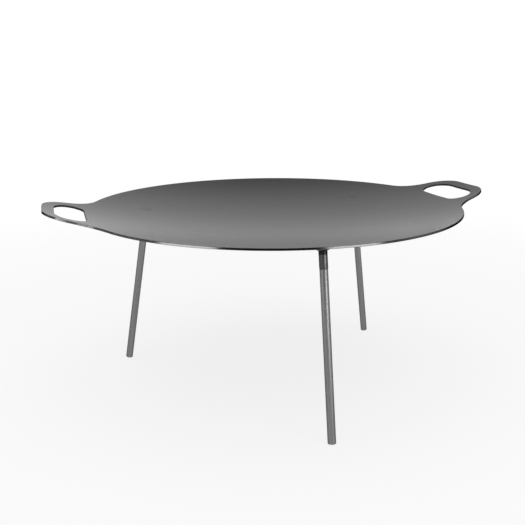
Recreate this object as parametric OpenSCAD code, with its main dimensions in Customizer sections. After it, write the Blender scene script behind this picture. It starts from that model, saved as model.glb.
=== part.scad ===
// Camp griddle plate: a dished steel sheet with two hand loops, on three legs that screw into welded sleeves.
// Millimetres, +Z up. The origin is on the ground, under the middle of the plate. The hand loops lie along X.

/* [Plate] */
// Diameter of the round plate across its rim
plate_d = 560; // [460:5:660]
// Thickness of the sheet
sheet_t = 3; // [2:0.25:5]
// Depth of the dish on its cooking side, from the rim down to the middle
dish_depth = 33; // [20:1:45]

/* [Hand loops] */
// How far each loop stands out past the rim
loop_reach = 56; // [50:1:80]
// Width of a loop at its outer edge, before its corners are rounded
loop_end_w = 119; // [100:1:150]
// Width of a loop where it crosses the rim
loop_root_w = 160; // [150:1:200]
// Radius of a loop's outer corners
loop_corner_r = 52; // [20:1:60]
// Radius of the curve from a loop into the rim
loop_fillet_r = 74; // [30:1:90]
// Width of the bar that the hand holds, outside the slot
grip_w = 16; // [12:1:20]
// Length of the hand slot, along the rim
slot_l = 109; // [90:1:115]
// Width of the hand slot, across the loop
slot_w = 42; // [34:1:50]
// Radius of the slot's corners beside the grip
slot_outer_r = 40; // [30:1:45]
// Radius of the slot's corners beside the dish
slot_inner_r = 18; // [10:1:20]

/* [Legs] */
// Diameter of a leg
leg_d = 11; // [10:0.5:16]
// Length of a leg below its sleeve
leg_l = 227; // [150:1:300]
// Chamfer on both ends of a leg
leg_chamfer = 0.4; // [0.2:0.1:1.2]
// How far in from the rim the sleeves stand, under the dish
leg_inset = 74; // [50:1:120]

/* [Screw joints] */
// Outside diameter of the thread
thread_d = 8; // [6:0.5:8.5]
// Length of thread that holds a leg in its sleeve
thread_l = 20; // [12:1:30]
// Length of the stud that is set into the leg
stud_set_l = 16; // [10:1:30]
// Chamfer on both ends of a stud
stud_chamfer = 0.8; // [0.4:0.1:1.2]
// Room left in the sleeve above the stud
tip_room = 8; // [2:1:20]
// Wall of the sleeve outside its thread
sleeve_wall = 1.7; // [1.2:0.1:4]
// Chamfer on both ends of a sleeve
sleeve_chamfer = 0.2; // [0.1:0.1:0.8]
// Size of the weld along the sleeve and along the sheet
weld_size = 6; // [2:0.25:8]

/* [Clearances] */
// Gap all round between a stud and its holes
thread_gap = 0.05; // [0.02:0.01:0.1]
// Gap between the top of a leg and its sleeve when it is screwed home
seat_gap = 0.05; // [0.02:0.01:0.2]
// Gap between the weld and the sleeve
weld_gap = 0.02; // [0.01:0.01:0.05]
// Gap between the inner end of a stud and the bottom of its hole in the leg
stud_end_gap = 0.3; // [0.1:0.1:1]

/* [Hidden] */

// Angle of each leg round the plate, in degrees from +X
front_angle = -90;
left_angle = 150;
right_angle = 30;
// Angle of the turned sheet's seam, away from the loops and the legs
seam_angle = 70;

// Roundness of the dish's long curve, of the turned sheet and of everything smaller
dish_fn = 1440;
turn_fn = 240;
$fn = 96;

// The sheet, loops and all, is a piece of a sphere. The legs' axes pass through its centre of curvature.
rim_r = plate_d / 2;
dish_r = (rim_r ^ 2 + dish_depth ^ 2) / (2 * dish_depth);
under_r = dish_r + sheet_t;

// Places along a leg's axis, as distances from the centre of curvature
leg_tilt = asin((rim_r - leg_inset) / under_r);
socket_l = thread_l + tip_room;
leg_top = under_r + socket_l + seat_gap;
leg_end = leg_top + leg_l;
foot_r = leg_d / 2 - leg_chamfer;
// The lowest point of each foot, the inner edge of its end, is on the ground
centre_z = leg_end * cos(leg_tilt) + foot_r * sin(leg_tilt);

hole_d = thread_d + 2 * thread_gap;
socket_d = hole_d + 2 * sleeve_wall;
stud_l = thread_l + seat_gap + stud_set_l;
stud_top = leg_top + stud_set_l - stud_l;

// Plan of a hand loop, for the loop on +X: x runs outwards and y along the rim
loop_x = rim_r + loop_reach;
flare = atan2((loop_root_w - loop_end_w) / 2, loop_reach);
side_in = [-cos(flare), sin(flare)];
side_out = [sin(flare), cos(flare)];
end_corner = [loop_x, loop_end_w / 2];
corner_r = min(loop_corner_r, loop_end_w / 2 * cos(flare) / (1 - sin(flare)));
corner_at = [loop_x - corner_r, loop_end_w / 2 - corner_r * (1 - sin(flare)) / cos(flare)];
// The curve into the rim touches the loop's side and the rim circle
fillet_from = end_corner + loop_fillet_r * side_out;
fillet_b = fillet_from * side_in;
fillet_c = fillet_from * fillet_from - (rim_r + loop_fillet_r) ^ 2;
fillet_run = -fillet_b - sqrt(fillet_b ^ 2 - fillet_c);
fillet_at = fillet_from + fillet_run * side_in;
fillet_foot = end_corner + fillet_run * side_in;

slot_out_x = loop_x - grip_w;
slot_in_x = slot_out_x - slot_w;
slot_half = slot_l / 2;
slot_small_r = min(slot_inner_r, slot_w / 2 - 1);
slot_big_r = max(slot_outer_r, slot_w - slot_small_r + 1);
// At each end of the slot its large corner runs straight on into its small one
slot_end = slot_big_r + slot_small_r - slot_w;
slot_turn = [slot_end, sqrt((slot_big_r - slot_small_r) ^ 2 - slot_end ^ 2)];

// Lap that makes the plan's round and straight edges cross, where they would only touch
plan_lap = 0.02;

// The sheet's section and the plan's prism are cut larger than the finished plate
blank_angle = asin((loop_x + loop_end_w / 2) / dish_r);
prism_h = 4 * (dish_depth + sheet_t + loop_reach);

// Places its children along a leg's axis, which runs down and outwards from the centre of curvature
module along_leg(at) {
    translate([0, 0, centre_z]) rotate([0, 180 - leg_tilt, at]) children();
}

// A turned pin from z to z + l, chamfered at both ends
module turned_pin(d, l, z, chamfer) {
    r = d / 2;
    translate([0, 0, z]) rotate_extrude() polygon([
        [0, 0], [r - chamfer, 0], [r, chamfer], [r, l - chamfer], [r - chamfer, l], [0, l]
    ]);
}

// Section of the pressed sheet from its middle to past the loops, about its centre of curvature
module sheet_section() {
    intersection() {
        difference() {
            circle(r = under_r, $fn = dish_fn);
            circle(r = dish_r, $fn = dish_fn);
        }
        polygon([[0, 0], [0, -2 * under_r], 2 * under_r * [tan(blank_angle), -1]]);
    }
}

// Outline of the hand loop on +X: straight sides, round outer corners and the curves into the rim
module hand_loop() {
    end = [loop_x - plan_lap, corner_at.y];
    turn = corner_at + (corner_r - plan_lap) * side_out;
    foot = fillet_foot - plan_lap * side_out;
    half = [end, turn, foot, fillet_at, fillet_at / 2];
    difference() {
        polygon(concat([for (i = [len(half) - 1:-1:0]) [half[i].x, -half[i].y]], half));
        for (side = [1, -1]) translate([fillet_at.x, side * fillet_at.y])
            circle(r = loop_fillet_r + 2 * plan_lap);
    }
    for (side = [1, -1]) translate([corner_at.x, side * corner_at.y]) circle(r = corner_r);
}

// The hand slot on +X: a D with large round corners beside the grip and smaller ones beside the dish
module hand_slot() {
    small = [slot_in_x + slot_small_r, slot_half - slot_small_r];
    big = small - slot_turn;
    meet = big + slot_big_r / norm(slot_turn) * slot_turn;
    past = big + 2 * slot_big_r / norm(slot_turn) * slot_turn;
    lap_y = small.y + plan_lap;
    intersection() {
        polygon([
            [big.x, -big.y], [past.x, -past.y], [past.x + slot_w, -past.y],
            [past.x + slot_w, past.y], past, big
        ]);
        for (side = [1, -1]) translate([big.x, side * big.y]) circle(r = slot_big_r);
    }
    for (side = [1, -1]) translate([small.x, side * lap_y]) circle(r = slot_small_r);
    polygon([
        [slot_out_x, big.y], meet, [slot_in_x, lap_y],
        [slot_in_x, -lap_y], [meet.x, -meet.y], [slot_out_x, -big.y]
    ]);
}

module plate_plan() {
    difference() {
        union() {
            circle(r = rim_r, $fn = turn_fn);
            for (turn = [0, 180]) rotate(turn) hand_loop();
        }
        for (turn = [0, 180]) rotate(turn) hand_slot();
    }
}

module griddle_plate() {
    color("dimgray") intersection() {
        translate([0, 0, centre_z]) rotate(seam_angle) rotate_extrude($fn = turn_fn) sheet_section();
        translate([0, 0, centre_z - under_r - dish_depth]) linear_extrude(prism_h) plate_plan();
    }
}

module leg_socket(at) {
    color("#4a4a4a") along_leg(at) difference() {
        turned_pin(socket_d, socket_l, under_r, sleeve_chamfer);
        translate([0, 0, under_r - sheet_t]) cylinder(d = hole_d, h = socket_l + 2 * sheet_t);
    }
}

// Weld metal in the corner between sleeve and sheet, with a slightly bulging face
module socket_weld(at) {
    bulge = weld_size / 2;
    color("#5c5c5c") along_leg(at) translate([0, 0, under_r]) rotate_extrude()
        translate([socket_d / 2 + weld_gap, 0]) intersection() {
            square(weld_size);
            translate([-bulge, -bulge]) circle(r = norm([weld_size + bulge, bulge]));
        }
}

module leg_rod(at) {
    color("gray") along_leg(at) difference() {
        turned_pin(leg_d, leg_l, leg_top, leg_chamfer);
        translate([0, 0, leg_top - leg_chamfer])
            cylinder(d = hole_d, h = leg_chamfer + stud_set_l + stud_end_gap);
    }
}

module leg_stud(at) {
    color("silver") along_leg(at) turned_pin(thread_d, stud_l, stud_top, stud_chamfer);
}

griddle_plate();
leg_socket(front_angle);  // leg_socket_front
leg_socket(left_angle);  // leg_socket_left
leg_socket(right_angle);  // leg_socket_right
socket_weld(front_angle);  // socket_weld_front
socket_weld(left_angle);  // socket_weld_left
socket_weld(right_angle);  // socket_weld_right
leg_rod(front_angle);  // leg_rod_front
leg_rod(left_angle);  // leg_rod_left
leg_rod(right_angle);  // leg_rod_right
leg_stud(front_angle);  // leg_stud_front
leg_stud(left_angle);  // leg_stud_left
leg_stud(right_angle);  // leg_stud_right
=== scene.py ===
"""Camp griddle plate: the looks of its pressed sheet, leg sleeves, weld beads, legs and threaded studs."""

from math import asin, atan2, cos, degrees, hypot, pi, radians, sin, sqrt

import bpy
from mathutils import Matrix, Vector
from mathutils.geometry import delaunay_2d_cdt


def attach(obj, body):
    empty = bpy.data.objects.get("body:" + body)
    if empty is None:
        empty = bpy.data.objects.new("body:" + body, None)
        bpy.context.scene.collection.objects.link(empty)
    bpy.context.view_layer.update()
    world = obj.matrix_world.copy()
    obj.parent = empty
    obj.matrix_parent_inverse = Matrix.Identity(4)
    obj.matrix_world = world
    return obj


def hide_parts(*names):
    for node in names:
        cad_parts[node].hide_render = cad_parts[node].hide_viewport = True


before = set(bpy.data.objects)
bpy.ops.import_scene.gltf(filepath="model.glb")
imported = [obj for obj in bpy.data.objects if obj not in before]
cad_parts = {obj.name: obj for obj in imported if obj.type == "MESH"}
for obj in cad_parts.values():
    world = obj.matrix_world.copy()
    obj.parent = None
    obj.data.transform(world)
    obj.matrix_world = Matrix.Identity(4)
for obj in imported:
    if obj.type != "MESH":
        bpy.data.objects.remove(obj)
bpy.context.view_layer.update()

# Sizes of the part in millimetres, as the solids have them
MM = 0.001
RIM_R = 280.0
SHEET_T = 3.0
DISH_DEPTH = 33.0
LOOP_REACH = 56.0
LOOP_END_W = 119.0
LOOP_ROOT_W = 160.0
CORNER_R = 52.0
FILLET_R = 74.0
GRIP_W = 16.0
SLOT_L = 109.0
SLOT_W = 42.0
SLOT_OUTER_R = 40.0
SLOT_INNER_R = 18.0
LEG_R = 5.5
LEG_L = 227.0
LEG_CHAMFER = 0.4
LEG_INSET = 74.0
THREAD_R = 4.0
THREAD_L = 20.0
THREAD_GAP = 0.05
PITCH = 1.25
STUD_SET_L = 16.0
STUD_END_GAP = 0.3
TIP_ROOM = 8.0
SLEEVE_R = 5.75
SLEEVE_CHAMFER = 0.2
SEAT_GAP = 0.05
WELD_SIZE = 6.0
LEG_ANGLES = {"front": -90.0, "left": 150.0, "right": 30.0}

# The sheet is part of a sphere, and the legs' axes pass through its centre
DISH_R = (RIM_R ** 2 + DISH_DEPTH ** 2) / (2 * DISH_DEPTH)
UNDER_R = DISH_R + SHEET_T
LEG_TILT = asin((RIM_R - LEG_INSET) / UNDER_R)
SLEEVE_L = THREAD_L + TIP_ROOM
LEG_TOP = UNDER_R + SLEEVE_L + SEAT_GAP
CENTRE_Z = (LEG_TOP + LEG_L) * cos(LEG_TILT) + (LEG_R - LEG_CHAMFER) * sin(LEG_TILT)

# Places along a leg's axis, where the leg's top is 0 and its foot is at LEG_L
SLEEVE_TOP = -(SLEEVE_L + SEAT_GAP)
SLEEVE_MOUTH = -SEAT_GAP
STUD_TIP = -(THREAD_L + SEAT_GAP)

# What only the looks need: the sheet's rounded burrs, the spread of its mesh and the sides of round pieces
BURR_R = 0.4
FILL_SPACING = 9.0
TURNED_SIDES = 72
THREAD_SIDES = 48


# Shader expressions

class Value:
    """One output of a node tree, for use in Python expressions."""

    def __init__(self, tree, socket):
        self.tree = tree
        self.socket = socket

    def math(self, operation, *others, clamp=False):
        settings = {"operation": operation, "use_clamp": clamp}
        return self.tree.add("ShaderNodeMath", settings, dict(enumerate((self, *others))))

    def __add__(self, other):
        return self.math("ADD", other)

    def __sub__(self, other):
        return self.math("SUBTRACT", other)

    def __rsub__(self, other):
        return self.tree.add("ShaderNodeMath", {"operation": "SUBTRACT"}, {0: other, 1: self})

    def __mul__(self, other):
        return self.math("MULTIPLY", other)

    __radd__ = __add__
    __rmul__ = __mul__

    def swing(self, amount):
        """How far a noise is from its middle, times an amount."""
        return (self - 0.5) * amount

    def between(self, low, high, start=0.0, end=1.0):
        """A smooth step from start at low to end at high."""
        settings = {"interpolation_type": "SMOOTHSTEP"}
        sockets = {"Value": self, "From Min": low, "From Max": high, "To Min": start, "To Max": end}
        return self.tree.add("ShaderNodeMapRange", settings, sockets)


class Tree:
    """A node tree of a finish or of the surroundings."""

    def __init__(self, owner):
        owner.use_nodes = True
        self.nodes = owner.node_tree.nodes
        self.links = owner.node_tree.links
        self.nodes.clear()

    def add(self, kind, settings=None, sockets=None, out=0):
        """Adds a node: its settings, then its sockets' values or links. Gives one of its outputs."""
        node = self.nodes.new(kind)
        for name, value in (settings or {}).items():
            if name == "stops":
                ramp = node.color_ramp.elements
                while len(ramp) < len(value):
                    ramp.new(1.0)
                for stop, (place, grey) in zip(ramp, value):
                    stop.position = place
                    stop.color = (grey, grey, grey, 1.0)
            else:
                setattr(node, name, value)
        for name, value in (sockets or {}).items():
            if isinstance(value, Value):
                self.links.new(value.socket, node.inputs[name])
            else:
                node.inputs[name].default_value = value
        return Value(self, node.outputs[out]) if node.outputs else None

    def several(self, kind, sockets, *outs):
        """Adds a node and gives several of its outputs."""
        node = self.add(kind, None, sockets).socket.node
        return [Value(self, node.outputs[out]) for out in outs]

    def place(self, space="Object"):
        return self.add("ShaderNodeTexCoord", out=space)

    def axes(self, vector):
        return self.several("ShaderNodeSeparateXYZ", {0: vector}, "X", "Y", "Z")

    def join(self, x, y, z):
        return self.add("ShaderNodeCombineXYZ", None, {0: x, 1: y, 2: z})

    def vector(self, operation, first, second, out="Vector"):
        return self.add("ShaderNodeVectorMath", {"operation": operation}, {0: first, 1: second}, out)

    def scaled(self, vector, *factors):
        return self.vector("MULTIPLY", vector, factors)

    def distance(self, vector, point):
        return self.vector("DISTANCE", vector, point, "Value")

    def turned(self, vector, angle):
        settings = {"rotation_type": "Z_AXIS"}
        return self.add("ShaderNodeVectorRotate", settings, {"Vector": vector, "Angle": angle})

    def noise(self, vector, scale=1.0, detail=2.0, roughness=0.5):
        sockets = {"Vector": vector, "Scale": scale, "Detail": detail, "Roughness": roughness}
        return self.add("ShaderNodeTexNoise", None, sockets)

    def bump(self, height, strength, distance):
        sockets = {"Height": height, "Strength": strength, "Distance": distance}
        return self.add("ShaderNodeBump", None, sockets)


def steel(name, edge_tint):
    """An empty metal finish: its tree, and a function that closes it with what changes over the surface."""
    material = bpy.data.materials.new(name)
    tree = Tree(material)

    def close(brightness, roughness, normal):
        tint = (edge_tint, edge_tint, edge_tint, 1.0)
        shader = tree.add("ShaderNodeBsdfPrincipled", None, {
            "Base Color": brightness, "Metallic": 1.0, "Roughness": roughness,
            "Specular Tint": tint, "Normal": normal})
        tree.add("ShaderNodeOutputMaterial", None, {"Surface": shader})
        return material

    return tree, close


# Finishes. Noise scales are per metre, and bump distances are in metres.

def leg_places(radius):
    """Where the legs' axes meet the sheet, on a sphere of that radius about the centre of curvature."""
    flat = radius * sin(LEG_TILT)
    for angle in map(radians, LEG_ANGLES.values()):
        yield Vector((flat * cos(angle), flat * sin(angle), CENTRE_Z - radius * cos(LEG_TILT))) * MM


def heat_marks(tree, place, radius, reach, ragged):
    """Soft marks that the welds' heat leaves in the sheet: 1 at each weld, fading to 0 at reach."""
    core = reach * 0.35
    middle = ragged / 2
    rough_edge = tree.noise(place, scale=260.0, detail=3.0, roughness=0.6) * ragged
    marks = None
    for spot in leg_places(radius):
        mark = (tree.distance(place, spot) + rough_edge).between(reach + middle, core + middle)
        marks = mark if marks is None else marks.math("MAXIMUM", mark)
    return marks


def hairlines(tree, place, angle, along, across, level):
    """A few hairline scratches at an angle: the peaks above a level in a stretched noise."""
    soft_side = 0.035
    stretched = tree.scaled(tree.turned(place, angle), along, across, along)
    return tree.noise(stretched).between(level, level + soft_side)


def sheet_grain(tree, place):
    """The sheet's cloudy unevenness, its fine rolling lines and its scratches, each from 0 to 1."""
    clouds = tree.noise(place, scale=11.0, detail=4.0, roughness=0.55)
    rolling = tree.noise(tree.scaled(place, 14.0, 1300.0, 40.0), detail=3.0, roughness=0.6)
    first = hairlines(tree, place, angle=0.7, along=3.0, across=420.0, level=0.705)
    second = hairlines(tree, place, angle=-1.1, along=5.0, across=520.0, level=0.71)
    return clouds, rolling, first.math("MAXIMUM", second)


def pressed_sheet():
    """Cooking side: satin cold-rolled steel, with faint marks over the welds."""
    tree, close = steel("pressed_sheet", edge_tint=0.85)
    place = tree.place()
    clouds, rolling, scratches = sheet_grain(tree, place)
    marks = heat_marks(tree, place, DISH_R, reach=0.013, ragged=0.006)
    brightness = 0.252 + clouds.swing(0.025) + rolling.swing(0.015) + scratches * 0.004 - marks * 0.028
    roughness = 0.265 + clouds.swing(0.03) + rolling.swing(0.025) + scratches * 0.006 + marks * 0.03
    return close(brightness, roughness, tree.bump(rolling, strength=0.012, distance=0.0002))


def sheet_underside():
    """Fire side: the same sheet, duller, with darker heat rings round the sleeves."""
    tree, close = steel("sheet_underside", edge_tint=0.7)
    place = tree.place()
    clouds, rolling, scratches = sheet_grain(tree, place)
    near = heat_marks(tree, place, UNDER_R, reach=0.016, ragged=0.008)
    wide = heat_marks(tree, place, UNDER_R, reach=0.034, ragged=0.012)
    bare = 0.21 + clouds.swing(0.08) + rolling.swing(0.03) + scratches * 0.02
    brightness = bare - near * 0.07 - wide * 0.06
    roughness = 0.42 + clouds.swing(0.14) + rolling.swing(0.08) + near * 0.10
    relief = rolling * 0.7 + scratches * 0.3
    return close(brightness, roughness, tree.bump(relief, strength=0.06, distance=0.0002))


def cut_edge():
    """Cut edge of the sheet, with fine lines across its thickness."""
    tree, close = steel("cut_edge", edge_tint=0.05)
    place = tree.place()
    lines = tree.noise(tree.scaled(place, 2200.0, 2200.0, 90.0), roughness=0.6)
    patches = tree.noise(place, scale=45.0, detail=3.0, roughness=0.6)
    brightness = 0.1 + lines.swing(0.08) + patches.swing(0.08)
    roughness = 0.15 + lines.swing(0.08) + patches.swing(0.08)
    return close(brightness, roughness, tree.bump(lines, strength=0.15, distance=0.0001))


def slot_wall():
    """Walls of the hand slots: very dark, with finer lines and a few bare spots."""
    tree, close = steel("slot_wall", edge_tint=0.4)
    place = tree.place()
    lines = tree.noise(tree.scaled(place, 2600.0, 2600.0, 120.0), roughness=0.6)
    bare = tree.noise(place, scale=90.0, detail=3.0, roughness=0.6).between(0.62, 0.72)
    brightness = 0.03 + lines.swing(0.03) + bare * 0.05
    roughness = 0.34 + lines.swing(0.12) - bare * 0.08
    return close(brightness, roughness, tree.bump(lines, strength=0.15, distance=0.0001))


def per_piece(tree, place):
    """The place, moved by a different amount on each piece, so that no two legs have the same streaks."""
    chance = tree.add("ShaderNodeObjectInfo", out="Random")
    return tree.vector("ADD", place, tree.join(chance * 3.0, chance * 5.0, chance * 7.0))


def drawn_rod():
    """Legs: drawn rod, with lengthwise streaks and dark mottling."""
    tree, close = steel("drawn_rod", edge_tint=0.15)
    place = per_piece(tree, tree.place())
    streaks = tree.noise(tree.scaled(place, 1500.0, 1500.0, 16.0), detail=4.0, roughness=0.6)
    broad = tree.noise(tree.scaled(place, 420.0, 420.0, 10.0))
    mottle = tree.noise(tree.scaled(place, 900.0, 900.0, 260.0), detail=3.0, roughness=0.65)
    brightness = 0.198 + streaks.swing(0.16) + broad.swing(0.10) + mottle.swing(0.12)
    roughness = 0.39 + streaks.swing(0.14) + mottle.swing(0.16)
    relief = streaks * 0.7 + mottle * 0.3
    return close(brightness, roughness, tree.bump(relief, strength=0.25, distance=0.00015))


def turned_sleeve():
    """Sleeves: dark turned steel, with fine lines round them, heat scale, and a darker band below the weld
    that is painted shade with some heat tint.
    """
    tree, close = steel("turned_sleeve", edge_tint=0.5)
    place = per_piece(tree, tree.place())
    _, _, along = tree.axes(tree.place())
    lines = tree.noise(tree.scaled(place, 30.0, 30.0, 5200.0))
    flakes = tree.noise(place, scale=700.0, detail=3.0, roughness=0.65)
    weld_end = (WELD_SIZE - SLEEVE_L) * MM
    # A darker band just below the weld: painted shade under the sheet, with some heat tint.
    band_core, band_reach = 0.0025, 0.0055
    weld_shade_and_tint = along.between(weld_end + band_reach, weld_end + band_core)
    brightness = 0.070 + lines.swing(0.03) + flakes.swing(0.05) - weld_shade_and_tint * 0.05
    roughness = 0.27 + lines.swing(0.06) + flakes.swing(0.10) + weld_shade_and_tint * 0.12
    return close(brightness, roughness, tree.bump(lines, strength=0.15, distance=0.00008))


def weld_bead():
    """Weld beads: dull grey blotches and fine pits, with bright specks."""
    tree, close = steel("weld_bead", edge_tint=0.6)
    place = per_piece(tree, tree.place())
    blotches = tree.noise(place, scale=520.0, detail=3.0, roughness=0.6)
    specks = tree.noise(place, scale=2400.0).between(0.60, 0.68)
    pits = tree.noise(place, scale=3600.0, roughness=0.6)
    brightness = 0.08 + blotches.swing(0.10) + specks * 0.24
    roughness = 0.38 + blotches.swing(0.20) - specks * 0.10
    return close(brightness, roughness, tree.bump(pits, strength=0.25, distance=0.00012))


def cut_thread():
    """Studs: bright cut thread, darker towards its roots."""
    tree, close = steel("cut_thread", edge_tint=0.8)
    place = per_piece(tree, tree.place())
    x, y, _ = tree.axes(tree.place())
    from_axis = (x * x + y * y).math("SQRT")
    thread_depth = 0.75
    crest = from_axis.between((THREAD_R - thread_depth) * MM, THREAD_R * MM)
    lines = tree.noise(tree.scaled(place, 40.0, 40.0, 4200.0))
    brightness = 0.16 + crest * 0.22 + lines.swing(0.10)
    roughness = 0.34 - crest * 0.08 + lines.swing(0.10)
    return close(brightness, roughness, tree.bump(lines, strength=0.1, distance=0.00006))


# Mesh building

def make_piece(name, points, faces, finishes, body, nodes,
               face_slots=None, normals=None, matrix=None):
    """One piece of the part, on its body, standing for the solids that are named."""
    crease = radians(32)
    mesh = bpy.data.meshes.new(name)
    mesh.from_pydata([Vector(p) * MM for p in points], [], faces)
    for finish in finishes:
        mesh.materials.append(finish)
    if face_slots:
        mesh.polygons.foreach_set("material_index", face_slots)
    mesh.shade_smooth()
    if normals:
        mesh.normals_split_custom_set_from_vertices(normals)
    else:
        mesh.set_sharp_from_angle(angle=crease)
    piece = bpy.data.objects.new(name, mesh)
    bpy.context.scene.collection.objects.link(piece)
    if matrix:
        piece.matrix_world = matrix
    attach(piece, body)
    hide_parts(*nodes)


# The pressed sheet. An outline is a list of plan points, each with the normal that points out of the metal.

def arc(centre, radius, start, end, out=1.0):
    """Points of an arc between two angles in degrees: out is 1 on a convex arc, -1 on a hollow one."""
    step_degrees, step_length = 3.0, 4.0
    sweep = abs(end - start)
    steps = max(4, round(sweep / step_degrees), round(radius * radians(sweep) / step_length))
    found = []
    for i in range(steps + 1):
        a = radians(start + (end - start) * i / steps)
        way = Vector((cos(a), sin(a)))
        found.append((Vector(centre) + radius * way, out * way))
    return found


def straight(start, end, normal):
    """Points along a straight stretch, without its two ends."""
    step_length = 5.0
    steps = max(1, round((end - start).length / step_length))
    return [(start.lerp(end, i / steps), normal) for i in range(1, steps)]


def mirrored(points, flip_x, flip_y):
    """The same run of points in another quarter, in the order that keeps the outline's direction."""
    flip = Vector((-1.0 if flip_x else 1.0, -1.0 if flip_y else 1.0))
    found = [(p * flip, n * flip) for p, n in points]
    return found if flip_x == flip_y else found[::-1]


def without_doubles(points):
    """An outline without the points that lie on the one before them."""
    least = 0.01
    return [p for i, p in enumerate(points) if (p[0] - points[i - 1][0]).length > least]


def plate_outline():
    """Outline of the sheet with its two loops, anticlockwise."""
    loop_x = RIM_R + LOOP_REACH
    outwards = Vector((1.0, 0.0))
    flare = atan2((LOOP_ROOT_W - LOOP_END_W) / 2, LOOP_REACH)
    side_in = Vector((-cos(flare), sin(flare)))
    side_out = Vector((sin(flare), cos(flare)))
    corner = Vector((loop_x - CORNER_R, LOOP_END_W / 2 - CORNER_R * (1 - sin(flare)) / cos(flare)))
    start = Vector((loop_x, LOOP_END_W / 2)) + FILLET_R * side_out
    b = start.dot(side_in)
    run = -b - sqrt(b * b - start.length_squared + (RIM_R + FILLET_R) ** 2)
    fillet = start + run * side_in
    fillet_angle = degrees(atan2(fillet.y, fillet.x))
    tilt = degrees(flare)
    tip = Vector((loop_x, 0.0))
    quarter = [(tip, outwards)]
    quarter += straight(tip, Vector((loop_x, corner.y)), outwards)
    quarter += arc(corner, CORNER_R, 0.0, 90.0 - tilt)
    quarter += straight(corner + CORNER_R * side_out, fillet - FILLET_R * side_out, side_out)
    quarter += arc(fillet, FILLET_R, 270.0 - tilt, 180.0 + fillet_angle, -1.0)
    quarter += arc((0.0, 0.0), RIM_R, fillet_angle, 90.0)
    outline = list(quarter)
    for flip_x, flip_y in ((True, False), (True, True), (False, True)):
        outline += mirrored(quarter, flip_x, flip_y)
    return without_doubles(outline)


def slot_outline(flip):
    """Outline of one hand slot, clockwise, with normals that point out of the metal, into the slot."""
    out_x = RIM_R + LOOP_REACH - GRIP_W
    in_x = out_x - SLOT_W
    outwards = Vector((1.0, 0.0))
    small = Vector((in_x + SLOT_INNER_R, SLOT_L / 2 - SLOT_INNER_R))
    over = SLOT_OUTER_R + SLOT_INNER_R - SLOT_W
    turn = Vector((over, sqrt((SLOT_OUTER_R - SLOT_INNER_R) ** 2 - over ** 2)))
    big = small - turn
    meet = degrees(atan2(turn.y, turn.x))
    grip_side, dish_side = Vector((out_x, 0.0)), Vector((in_x, 0.0))
    upper = [(grip_side, -outwards)]
    upper += straight(grip_side, Vector((out_x, big.y)), -outwards)
    upper += arc(big, SLOT_OUTER_R, 0.0, meet, -1.0)
    upper += arc(small, SLOT_INNER_R, meet, 180.0, -1.0)
    upper += straight(Vector((in_x, small.y)), dish_side, outwards)
    upper += [(dish_side, outwards)]
    return without_doubles(mirrored(upper + mirrored(upper, False, True), flip, False))[::-1]


def inside(point, outline):
    """Whether a point of the plan is inside an outline."""
    hit = False
    for (a, _), (b, _) in zip(outline, outline[1:] + outline[:1]):
        if (a.y > point.y) != (b.y > point.y):
            crossing = (b.x - a.x) * (point.y - a.y) / (b.y - a.y) + a.x
            if point.x < crossing:
                hit = not hit
    return hit


def in_slot(point, slots):
    """Whether a point of the plan is inside one of the hand slots."""
    return any(inside(point, slot) for slot in slots)


def fill_points(outer, slots):
    """Points spread over the sheet's plan in staggered rows, clear of its edges."""
    far = RIM_R + LOOP_REACH
    row_ratio = 0.866
    rim_margin = FILL_SPACING * 0.6
    edge_margin = 4.0
    loop_margin = 30.0
    edge_points = [p for outline in (outer, *slots) for p, _ in outline]
    rows = round(2 * far / (FILL_SPACING * row_ratio))
    columns = round(2 * far / FILL_SPACING)

    def on_loop(point):
        near = abs(point.x) > RIM_R - loop_margin and abs(point.y) < LOOP_ROOT_W / 2 + loop_margin
        return near and inside(point, outer) and min((point - p).length for p in edge_points) > edge_margin

    found = []
    for row in range(rows):
        y = (row - rows / 2) * FILL_SPACING * row_ratio
        for column in range(columns):
            point = Vector(((column + 0.5 * (row % 2)) * FILL_SPACING - far, y))
            on_dish = point.length < RIM_R - rim_margin
            if (on_dish or on_loop(point)) and not in_slot(point, slots):
                found.append(point)
    return found


def sheet_plan(outer, slots):
    """The sheet's plan: its points, its triangles, and the numbers of the points along each outline."""
    plan, edges, firsts = [], [], []
    for outline in (outer, *slots):
        first, count = len(plan), len(outline)
        firsts.append((first, count))
        edges += [(first + i, first + (i + 1) % count) for i in range(count)]
        plan += [p - BURR_R * n for p, n in outline]
    plan += fill_points(outer, slots)
    inside_only, nearest = 1, 1e-6
    flat, _, triangles, origin, _, _ = delaunay_2d_cdt(plan, edges, [], inside_only, nearest)
    number_of = {source: new for new, sources in enumerate(origin) for source in sources}
    rims = [[number_of[first + i] for i in range(count)] for first, count in firsts]
    kept = []
    for triangle in triangles:
        a, b, c = (flat[i] for i in triangle)
        middle = (a + b + c) / 3
        if inside(middle, outer) and not in_slot(middle, slots):
            kept.append(tuple(triangle) if (b - a).cross(c - a) > 0 else tuple(reversed(triangle)))
    return flat, kept, rims


def edge_section():
    """Steps of the cut edge from face to face: the turn of its normal, its inset and its depth."""
    for a in map(radians, (30.0, 60.0, 90.0)):
        yield a, BURR_R * (1 - sin(a)), BURR_R * (1 - cos(a))
    for a in map(radians, (90.0, 120.0, 150.0)):
        yield a, BURR_R * (1 - sin(a)), SHEET_T - BURR_R * (1 + cos(a))


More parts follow.
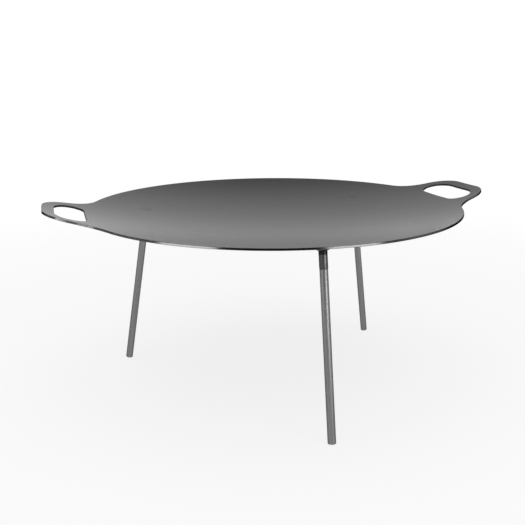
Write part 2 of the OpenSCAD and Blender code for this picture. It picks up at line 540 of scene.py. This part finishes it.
def griddle_sheet():
    """The dished sheet: both faces on their spheres, and a square cut edge with its burrs rounded off."""
    outer, slots = plate_outline(), [slot_outline(False), slot_outline(True)]
    flat, top_faces, rims = sheet_plan(outer, slots)
    centre = Vector((0.0, 0.0, CENTRE_Z))

    def ray(p):
        """The way from the centre of curvature to the sheet's underside at a point of the plan."""
        return Vector((p.x, p.y, -sqrt(UNDER_R ** 2 - p.length_squared))) / UNDER_R

    points, normals = [], []
    for depth, way in ((0.0, -1.0), (SHEET_T, 1.0)):
        for u in map(ray, flat):
            points.append(centre + u * (DISH_R + depth))
            normals.append(way * u)
    under = len(flat)
    faces = top_faces + [tuple(under + i for i in reversed(face)) for face in top_faces]
    top, bottom, edge, wall = range(4)
    face_slots = [top] * len(top_faces) + [bottom] * len(top_faces)
    for outline, rim, finish in zip((outer, *slots), rims, (edge, wall, wall)):
        count = len(outline)
        rings = [rim]
        for a, inset, depth in edge_section():
            rings.append(range(len(points), len(points) + count))
            for p, n in outline:
                u = ray(p - inset * n)
                flat_way = Vector((n.x, n.y, 0.0))
                way = (flat_way - flat_way.dot(u) * u).normalized()
                points.append(centre + u * (DISH_R + depth))
                normals.append((-cos(a) * u + sin(a) * way).normalized())
        rings.append([under + i for i in rim])
        for upper, lower in zip(rings, rings[1:]):
            for i in range(count):
                j = (i + 1) % count
                faces.append((upper[i], lower[i], lower[j], upper[j]))
                face_slots.append(finish)
    finishes = [pressed_sheet(), sheet_underside(), cut_edge(), slot_wall()]
    make_piece("griddle_sheet", points, faces, finishes, "griddle", ["griddle_plate"],
               face_slots, normals)


# Turned and threaded pieces, built about the leg's axis with the leg's top at 0 and the foot at +Z

def leg_matrix(angle):
    """Where a piece that is built about the leg's axis stands under the dish."""
    turn = Matrix.Rotation(radians(angle), 4, "Z") @ Matrix.Rotation(pi - LEG_TILT, 4, "Y")
    centre = Matrix.Translation((0.0, 0.0, CENTRE_Z * MM))
    return centre @ turn @ Matrix.Translation((0.0, 0.0, LEG_TOP * MM))


def rounded(profile, radius, steps=3):
    """A profile of (radius, height) points with its inner corners rounded off."""
    most = 0.45
    found = [profile[0]]
    for before, corner, after in zip(profile, profile[1:], profile[2:]):
        c = Vector(corner)
        back, ahead = Vector(before) - c, Vector(after) - c
        reach = min(radius, back.length * most, ahead.length * most)
        start, end = c + back.normalized() * reach, c + ahead.normalized() * reach
        for i in range(steps + 1):
            t = i / steps
            found.append(tuple(start * (1 - t) ** 2 + c * 2 * t * (1 - t) + end * t ** 2))
    return found + [profile[-1]]


def turn_profile(profile, sides):
    """Points and faces of a profile of (radius, height) turned about the axis."""
    points, faces, rings = [], [], []
    for r, z in profile:
        if r == 0.0:
            rings.append([len(points)] * sides)
            points.append((0.0, 0.0, z))
            continue
        rings.append(range(len(points), len(points) + sides))
        points += [(r * cos(2 * pi * i / sides), r * sin(2 * pi * i / sides), z) for i in range(sides)]
    for low, high in zip(rings, rings[1:]):
        for i in range(sides):
            j = (i + 1) % sides
            face = tuple(dict.fromkeys((low[i], low[j], high[j], high[i])))
            if len(face) > 2:
                faces.append(face)
    return points, faces


def thread_height(turn, z):
    """Height of the thread at a turn and a place along the axis: 0 in its root, 1 on its crest."""
    root_flat, flank = 0.12, 0.72
    phase = (z / PITCH - turn) % 1.0
    slope = 1.0 - abs(2.0 * phase - 1.0)
    return min(1.0, max(0.0, (slope - root_flat) / flank))


def threaded(low, high, radius_at):
    """Points and faces of a threaded wall, with the radius that radius_at gives at a turn and a height."""
    steps_per_pitch = 14
    sides = THREAD_SIDES
    steps = round((high - low) / PITCH * steps_per_pitch)
    points = []
    for k in range(steps + 1):
        z = low + (high - low) * k / steps
        for i in range(sides):
            r = radius_at(i / sides, z)
            a = 2 * pi * i / sides
            points.append((r * cos(a), r * sin(a), z))
    faces = []
    for k in range(steps):
        for i in range(sides):
            j = (i + 1) % sides
            faces.append((k * sides + i, k * sides + j, (k + 1) * sides + j, (k + 1) * sides + i))
    return points, faces


def joined(*parts):
    """Several runs of points and faces as one."""
    points, faces = [], []
    for some_points, some_faces in parts:
        shift = len(points)
        points += some_points
        faces += [tuple(shift + i for i in face) for face in some_faces]
    return points, faces


def backwards(part):
    """The same points and faces, with the faces turned round."""
    points, faces = part
    return points, [tuple(reversed(face)) for face in faces]


def leg_rod(side, angle, finish):
    """A leg: a drawn rod with chamfered ends and a blind hole for its stud."""
    hole_r = THREAD_R + THREAD_GAP
    hole_end = STUD_SET_L + STUD_END_GAP
    hole_chamfer = 0.5
    end_r = LEG_R - LEG_CHAMFER
    worn = 0.25
    profile = [(0.0, hole_end), (hole_r, hole_end), (hole_r, hole_chamfer), (hole_r + hole_chamfer, 0.0),
               (end_r, 0.0), (LEG_R, LEG_CHAMFER), (LEG_R, LEG_L - LEG_CHAMFER), (end_r, LEG_L),
               (0.0, LEG_L)]
    points, faces = turn_profile(rounded(profile, worn), TURNED_SIDES)
    make_piece("leg_" + side, points, faces, [finish], "leg_" + side, ["leg_rod_" + side],
               matrix=leg_matrix(angle))


def leg_stud(side, angle, finish):
    """A stud: a cut thread above the leg, a plain shank inside it and a chamfered tip."""
    root = THREAD_R - 0.72
    crest = THREAD_R - 0.06
    neck = 0.4
    tip_r = root - 0.15
    tip_slope = 1.1

    def radius_at(turn, z):
        return min(root + (crest - root) * thread_height(turn, z), tip_r + (z - STUD_TIP) * tip_slope)

    wall = threaded(STUD_TIP, 0.0, radius_at)
    tip = turn_profile([(0.0, STUD_TIP), (tip_r, STUD_TIP)], THREAD_SIDES)
    shank = turn_profile([(root, 0.0), (crest, neck), (crest, STUD_SET_L), (0.0, STUD_SET_L)], THREAD_SIDES)
    points, faces = joined(wall, backwards(tip), shank)
    make_piece("stud_" + side, points, faces, [finish], "leg_" + side + "_stud",
               ["leg_stud_" + side], matrix=leg_matrix(angle))


def leg_sleeve(side, angle, finish):
    """A sleeve: a turned tube with soft chamfers, and a thread cut in from its mouth."""
    root = THREAD_R + THREAD_GAP
    crest = THREAD_R - 0.55
    sunk_r = root + 0.3
    sunk_slope = 1.2
    end_r = SLEEVE_R - SLEEVE_CHAMFER
    worn = 0.2
    tapped_turns = 11
    tapped_to = SLEEVE_MOUTH - tapped_turns * PITCH

    def radius_at(turn, z):
        cut = root - (root - crest) * (1.0 - thread_height(turn, z))
        return max(cut, sunk_r - (SLEEVE_MOUTH - z) * sunk_slope)

    profile = [(root, SLEEVE_TOP), (end_r, SLEEVE_TOP), (SLEEVE_R, SLEEVE_TOP + SLEEVE_CHAMFER),
               (SLEEVE_R, SLEEVE_MOUTH - SLEEVE_CHAMFER), (end_r, SLEEVE_MOUTH), (sunk_r, SLEEVE_MOUTH)]
    outside = turn_profile(rounded(profile, worn), TURNED_SIDES)
    tapping = threaded(tapped_to, SLEEVE_MOUTH, radius_at)
    bore = turn_profile([(root, SLEEVE_TOP), (root, tapped_to)], THREAD_SIDES)
    points, faces = joined(outside, backwards(tapping), backwards(bore))
    make_piece("sleeve_" + side, points, faces, [finish], "griddle", ["leg_socket_" + side],
               matrix=leg_matrix(angle))


def sleeve_weld(side, angle, finish, ripples):
    """A weld bead between sleeve and sheet: overlapping ripples, with a small lump where it closes."""
    around, across = 224, 13
    bulge = WELD_SIZE / 2
    face_r = hypot(WELD_SIZE + bulge, bulge)
    set_back = 0.7
    into_sleeve = 0.05
    into_sheet = 0.06
    ripple_h = 0.4
    ripple_fall = 1.6
    ripple_lag = 0.55
    ripple_drift = 0.08
    lump_h = 0.3
    lump_at = 0.6
    lump_fall = 24
    slow_waver = 0.18
    quick_waver = 0.12
    points, faces = [], []
    for i in range(around):
        a = 2 * pi * i / around
        waver = slow_waver * sin(5.0 * a + 1.3 * ripples) + quick_waver * sin(9.0 * a + ripples)
        for k in range(across):
            s = k / (across - 1)
            bow = radians(90.0 * s)
            bend = 1.0 - (2.0 * s - 1.0) ** 2
            phase = (ripples * i / around - ripple_lag * bend + ripple_drift * sin(3.0 * a)) % 1.0
            ripple = ripple_h * (1.0 - phase) ** ripple_fall * bend
            lump = lump_h * max(0.0, cos(a - lump_at)) ** lump_fall * bend
            lean = (cos(bow) + sin(bow)) * bulge
            face = sqrt(lean ** 2 - 2 * bulge ** 2 + face_r ** 2) - lean
            reach = face - set_back + waver + ripple + lump
            r = SLEEVE_R - into_sleeve + reach * sin(bow)
            z = SLEEVE_TOP - into_sheet + reach * cos(bow)
            points.append((r * cos(a), r * sin(a), z))
    for i in range(around):
        j = (i + 1) % around
        for k in range(across - 1):
            faces.append((i * across + k, i * across + k + 1, j * across + k + 1, j * across + k))
    make_piece("weld_" + side, points, faces, [finish], "griddle", ["socket_weld_" + side],
               matrix=leg_matrix(angle))


griddle_sheet()
rod, sleeve, bead, thread = drawn_rod(), turned_sleeve(), weld_bead(), cut_thread()
fewest_ripples = 15
for number, (side, angle) in enumerate(LEG_ANGLES.items()):
    leg_rod(side, angle, rod)
    leg_stud(side, angle, thread)
    leg_sleeve(side, angle, sleeve)
    sleeve_weld(side, angle, bead, fewest_ripples + number)


# Studio, in metres and radians. The camera stands where the photograph was taken from.

VIEW_TURN = radians(17.56)
VIEW_BACK = 1.0623
VIEW_UP = 0.4630
VIEW_YAW = -0.0156
VIEW_DOWN = 0.2612
VIEW_ROLL = 0.0059
FOCAL_PIXELS = 709.3
IMAGE_PIXELS = 525

# The backdrop's grey by height, where the height is the sine of the angle above the horizon
BACKDROP_STOPS = [
    (0.0, 1.0), (0.1, 1.0), (0.18, 0.73), (0.27, 0.56), (0.42, 0.46),
    (0.5, 0.32), (0.57, 0.13), (0.63, 0.03), (1.0, 0.03)]


def camera():
    """The camera, at the photograph's place and angle."""
    data = bpy.data.cameras.new("camera")
    data.sensor_width = 36.0
    data.lens = data.sensor_width * FOCAL_PIXELS / IMAGE_PIXELS
    data.clip_start, data.clip_end = 0.05, 100.0
    across = Vector((cos(VIEW_YAW), -sin(VIEW_YAW), 0.0))
    ahead = Vector((sin(VIEW_YAW), cos(VIEW_YAW), 0.0))
    up = Vector((0.0, 0.0, 1.0))
    forward = ahead * cos(VIEW_DOWN) - up * sin(VIEW_DOWN)
    upright = ahead * sin(VIEW_DOWN) + up * cos(VIEW_DOWN)
    right = across * cos(VIEW_ROLL) - upright * sin(VIEW_ROLL)
    top = across * sin(VIEW_ROLL) + upright * cos(VIEW_ROLL)
    basis = Matrix((right, top, -forward)).transposed().to_4x4()
    place = Matrix.Translation((0.0, -VIEW_BACK, VIEW_UP)) @ basis
    eye = bpy.data.objects.new("camera", data)
    bpy.context.scene.collection.objects.link(eye)
    eye.matrix_world = Matrix.Rotation(-VIEW_TURN, 4, "Z") @ place
    bpy.context.scene.camera = eye


def pale_floor():
    """The floor's finish: white far off, some of the part's shadow close to it, and clear from below."""
    material = bpy.data.materials.new("pale_floor")
    tree = Tree(material)
    direct, glossy, through = tree.several(
        "ShaderNodeLightPath", None, "Is Camera Ray", "Is Glossy Ray", "Is Transmission Ray")
    seen = (direct + glossy).math("ADD", through, clamp=True)
    paint = tree.add("ShaderNodeBsdfDiffuse", None, {"Color": (0.85, 0.85, 0.85, 1.0)})
    white = tree.add("ShaderNodeEmission", None, {"Color": (1.0, 1.0, 1.0, 1.0), "Strength": 1.0})
    white_share = tree.distance(tree.place(), (0.0, 0.0, 0.0)).between(0.5, 1.6, 0.82, 1.0)
    lit = tree.add("ShaderNodeMixShader", None, {0: seen * white_share, 1: paint, 2: white})
    clear = tree.add("ShaderNodeBsdfTransparent")
    below = tree.add("ShaderNodeNewGeometry", out="Backfacing")
    mixed = tree.add("ShaderNodeMixShader", None, {0: below, 1: lit, 2: clear})
    tree.add("ShaderNodeOutputMaterial", None, {"Surface": mixed})
    return material


def floor():
    """A wide flat floor under the part."""
    half, parts = 30.0, 12
    lines = [half * (2 * i / parts - 1) for i in range(parts + 1)]
    points = [(x, y, 0.0) for y in lines for x in lines]
    corners = [j * len(lines) + i for j in range(parts) for i in range(parts)]
    faces = [(c, c + 1, c + 1 + len(lines), c + len(lines)) for c in corners]
    mesh = bpy.data.meshes.new("floor")
    mesh.from_pydata(points, [], faces)
    mesh.materials.append(pale_floor())
    ground = bpy.data.objects.new("floor", mesh)
    bpy.context.scene.collection.objects.link(ground)


def surroundings():
    """A studio room: white at the horizon, a backdrop that darkens upwards, grey sides and a dark front."""
    world = bpy.data.worlds.new("studio")
    bpy.context.scene.world = world
    tree = Tree(world)
    x, y, z = tree.axes(tree.place("Generated"))
    ahead = x * sin(VIEW_TURN) + y * cos(VIEW_TURN)
    aside = x * cos(VIEW_TURN) - y * sin(VIEW_TURN)
    behind_part = ahead.between(0.35, 0.85)
    horizon = z.between(0.08, 0.15, 1.0, 0.0)
    backdrop = tree.add("ShaderNodeValToRGB", {"stops": BACKDROP_STOPS}, {"Fac": z})
    room_grey, front_grey, backdrop_fall = 0.3, 0.033, 0.4
    front_shade = ahead.between(-0.4, -0.75) * z.between(0.4, 0.8, room_grey - front_grey, 0.0)
    room = room_grey - front_shade
    level = room + behind_part * (backdrop * (1.0 - aside * backdrop_fall) - room)
    level = level + horizon * (1.0 - level)
    glow = tree.add("ShaderNodeBackground", None, {"Color": level, "Strength": 1.0})
    tree.add("ShaderNodeOutputWorld", None, {"Surface": glow})


def soft_box(name, turn, height, away, width, tall, power):
    """A soft box at a turn from the camera's side, in degrees, that faces the part."""
    data = bpy.data.lights.new(name, "AREA")
    data.shape = "RECTANGLE"
    data.size = width
    data.size_y = tall
    data.energy = power
    box = bpy.data.objects.new(name, data)
    bpy.context.scene.collection.objects.link(box)
    a = radians(-90.0 + turn) - VIEW_TURN
    aim = Vector((0.0, 0.0, 0.2))
    box.location = (away * cos(a), away * sin(a), height)
    box.rotation_euler = (aim - box.location).to_track_quat("-Z", "Y").to_euler()
    box.visible_camera = False


camera()
floor()
surroundings()
soft_box("left_box", turn=-46.0, height=0.63, away=2.2, width=1.3, tall=0.20, power=5.6)
soft_box("right_box", turn=43.0, height=0.625, away=2.2, width=1.15, tall=0.20, power=4.6)
soft_box("low_box", turn=43.0, height=0.27, away=2.2, width=1.15, tall=0.20, power=8.0)
soft_box("top_box", turn=0.0, height=3.2, away=0.5, width=4.4, tall=4.4, power=85.0)
bpy.context.scene.view_settings.view_transform = "Standard"
